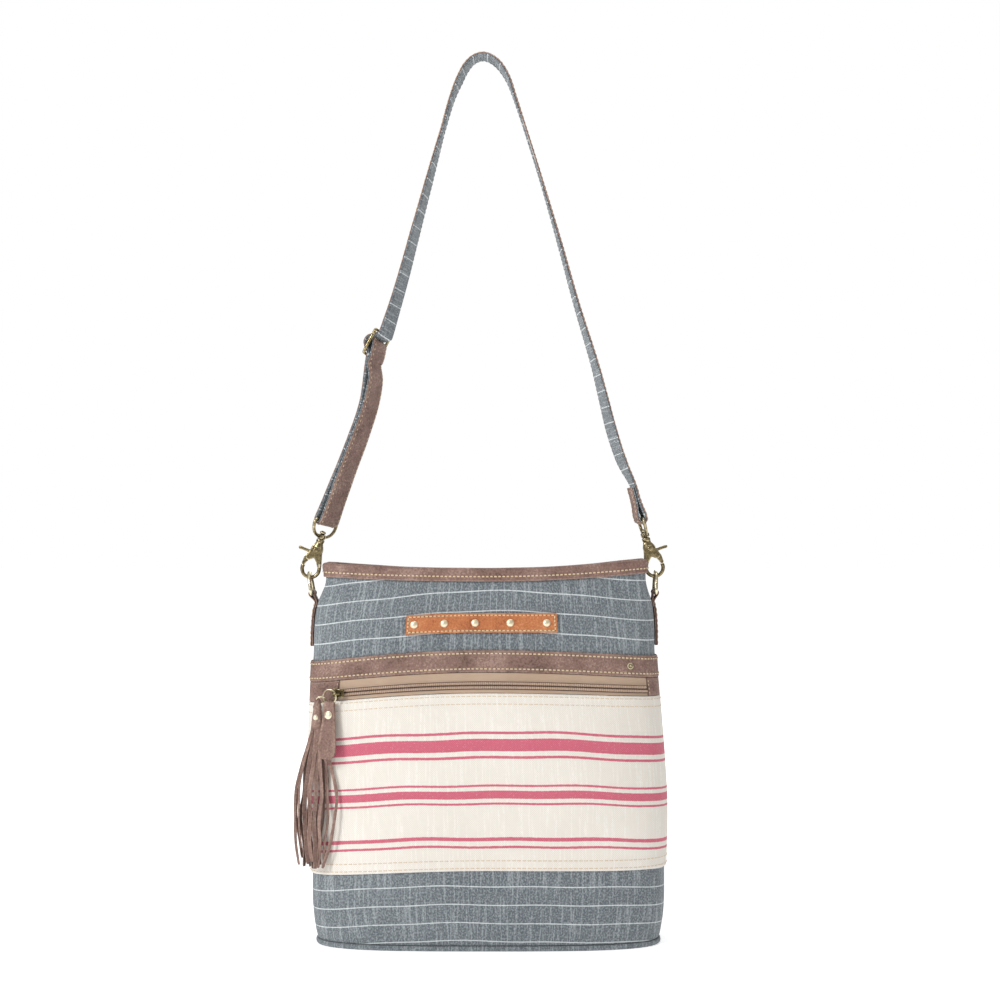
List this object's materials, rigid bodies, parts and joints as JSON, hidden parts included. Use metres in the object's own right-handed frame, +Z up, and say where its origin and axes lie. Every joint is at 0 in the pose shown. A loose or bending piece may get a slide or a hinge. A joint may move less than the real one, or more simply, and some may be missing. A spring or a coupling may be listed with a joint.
{
  "type": "shoulder bag",
  "caption": "Small upright canvas shoulder bag with a cream zipped pocket front, leather trim, a zip pull with tassel, and an adjustable strap on swivel hooks.",
  "frame": {"origin": "under the highest point of the strap, where a peg or a shoulder carries the bag", "axes": "+Z up, the bag's front faces -Y, +X to the right seen from the front"},
  "size_m": [0.3113, 0.1019, 0.7463],
  "materials": {
    "canvas": "grey-blue slub canvas with pale pinstripes",
    "cream": "undyed heavy canvas",
    "brown_leather": "matt grained brown leather with tan stitching",
    "tan_leather": "smooth vegetable-tanned leather",
    "zip_tape": "fine woven tape",
    "zip_coil": "satin moulded coil",
    "brass": "antiqued, worn bright at the edges",
    "pale_brass": "polished domes"
  },
  "bodies": {
    "bag": {"front_panel": "canvas", "back_panel": "canvas", "base_panel": "canvas", "strap_canvas": "canvas", "cream_panel": "cream", "rim_binding": "brown_leather", "pocket_band": "brown_leather", "zip_patch_left": "brown_leather", "zip_patch_right": "brown_leather", "side_tab_left": "brown_leather", "side_tab_right": "brown_leather", "strap_leather": "brown_leather", "pull_tab": "brown_leather", "tassel": "brown_leather", "stud_tab": "tan_leather", "zip_tape": "zip_tape", "zip_coil": "zip_coil", "band_rivet": "brass", "eye_left": "brass", "ring_left": "brass", "eye_right": "brass", "ring_right": "brass", "strap_slider": "brass", "zip_slider": "brass", "pull_ring": "brass", "pull_rivet": "brass", "tassel_ring": "brass", "tassel_rivet": "brass", "stud_1": "pale_brass", "stud_2": "pale_brass", "stud_3": "pale_brass", "stud_4": "pale_brass", "stud_5": "pale_brass"},
    "hook_left": {"hook_left": "brass"},
    "lever_left": {"lever_left": "brass"},
    "hook_right": {"hook_right": "brass"},
    "lever_right": {"lever_right": "brass"}
  },
  "joints": [
    {"name": "swivel_left", "type": "hinge", "parent": "bag", "child": "hook_left", "pos_m": [-0.1314, 0, -0.3912], "axis": [0.2924, 0, 0.9563], "range_deg": [-15, 15]},
    {"name": "gate_left", "type": "hinge", "parent": "hook_left", "child": "lever_left", "pos_m": [-0.14015, 0, -0.41571], "axis": [0, -1, 0], "range_deg": [0, 22], "stiffness_Nm_per_rad": 0.03, "springref_deg": -8.59},
    {"name": "swivel_right", "type": "hinge", "parent": "bag", "child": "hook_right", "pos_m": [0.1342, 0, -0.3896], "axis": [-0.2504, 0, 0.9681], "range_deg": [-15, 15]},
    {"name": "gate_right", "type": "hinge", "parent": "hook_right", "child": "lever_right", "pos_m": [0.14187, 0, -0.41447], "axis": [0, 1, 0], "range_deg": [0, 22], "stiffness_Nm_per_rad": 0.03, "springref_deg": -8.59}
  ]
}
